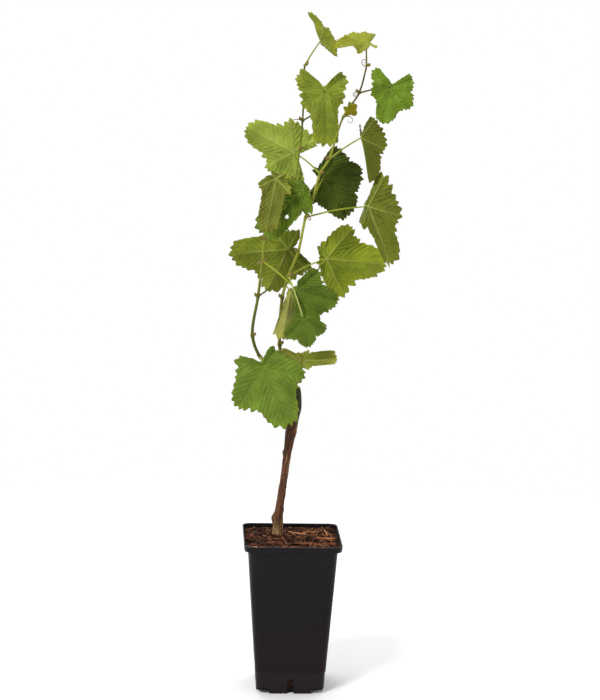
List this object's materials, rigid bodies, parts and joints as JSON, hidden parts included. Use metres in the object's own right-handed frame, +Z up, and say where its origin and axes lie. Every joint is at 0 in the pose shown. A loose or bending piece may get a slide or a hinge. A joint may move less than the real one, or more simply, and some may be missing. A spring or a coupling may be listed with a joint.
{
  "type": "potted grapevine",
  "caption": "Young grapevine in a tall square nursery pot: a brown cane with green shoots that carry large lobed and toothed leaves.",
  "frame": {"origin": "centre of the pot's flat underside", "axes": "+Z up the plant, -Y to the front of the pot, +X to the right seen from the front"},
  "size_m": [0.2108, 0.1264, 0.8262],
  "materials": {
    "pot": "near-black moulded plastic, slightly glossy",
    "soil": "moist dark brown potting soil with bark chips and straw fibres",
    "cane": "fibrous brown bark",
    "shoot": "smooth yellow-green young stem",
    "leaf": "satin green leaf with pale veins"
  },
  "bodies": {
    "root": {"pot": "pot", "soil": "soil", "cane": "cane", "shoot_left": "shoot", "shoot_right": "shoot", "leaf_crest": "leaf", "leaf_crown": "leaf", "leaf_upper_right": "leaf", "leaf_upper_middle": "leaf", "leaf_upper_left": "leaf", "leaf_left_folded": "leaf", "leaf_centre": "leaf", "leaf_centre_right": "leaf", "leaf_right_folded": "leaf", "leaf_right_hanging": "leaf", "leaf_lower_right": "leaf", "leaf_lower_left": "leaf", "leaf_lower_middle": "leaf", "leaf_lower_front": "leaf", "leaf_lower_folded": "leaf", "leaf_bottom": "leaf", "leaf_bottom_small": "leaf", "leaf_young": "leaf", "stalk_crest": "shoot", "stalk_crown": "shoot", "stalk_upper_right": "shoot", "stalk_upper_middle": "shoot", "stalk_upper_left": "shoot", "stalk_left_folded": "shoot", "stalk_centre": "shoot", "stalk_centre_right": "shoot", "stalk_right_folded": "shoot", "stalk_right_hanging": "shoot", "stalk_lower_right": "shoot", "stalk_lower_left": "shoot", "stalk_lower_middle": "shoot", "stalk_lower_front": "shoot", "stalk_lower_folded": "shoot", "stalk_bottom": "shoot", "stalk_bottom_small": "shoot", "stalk_young": "shoot"}
  },
  "joints": []
}
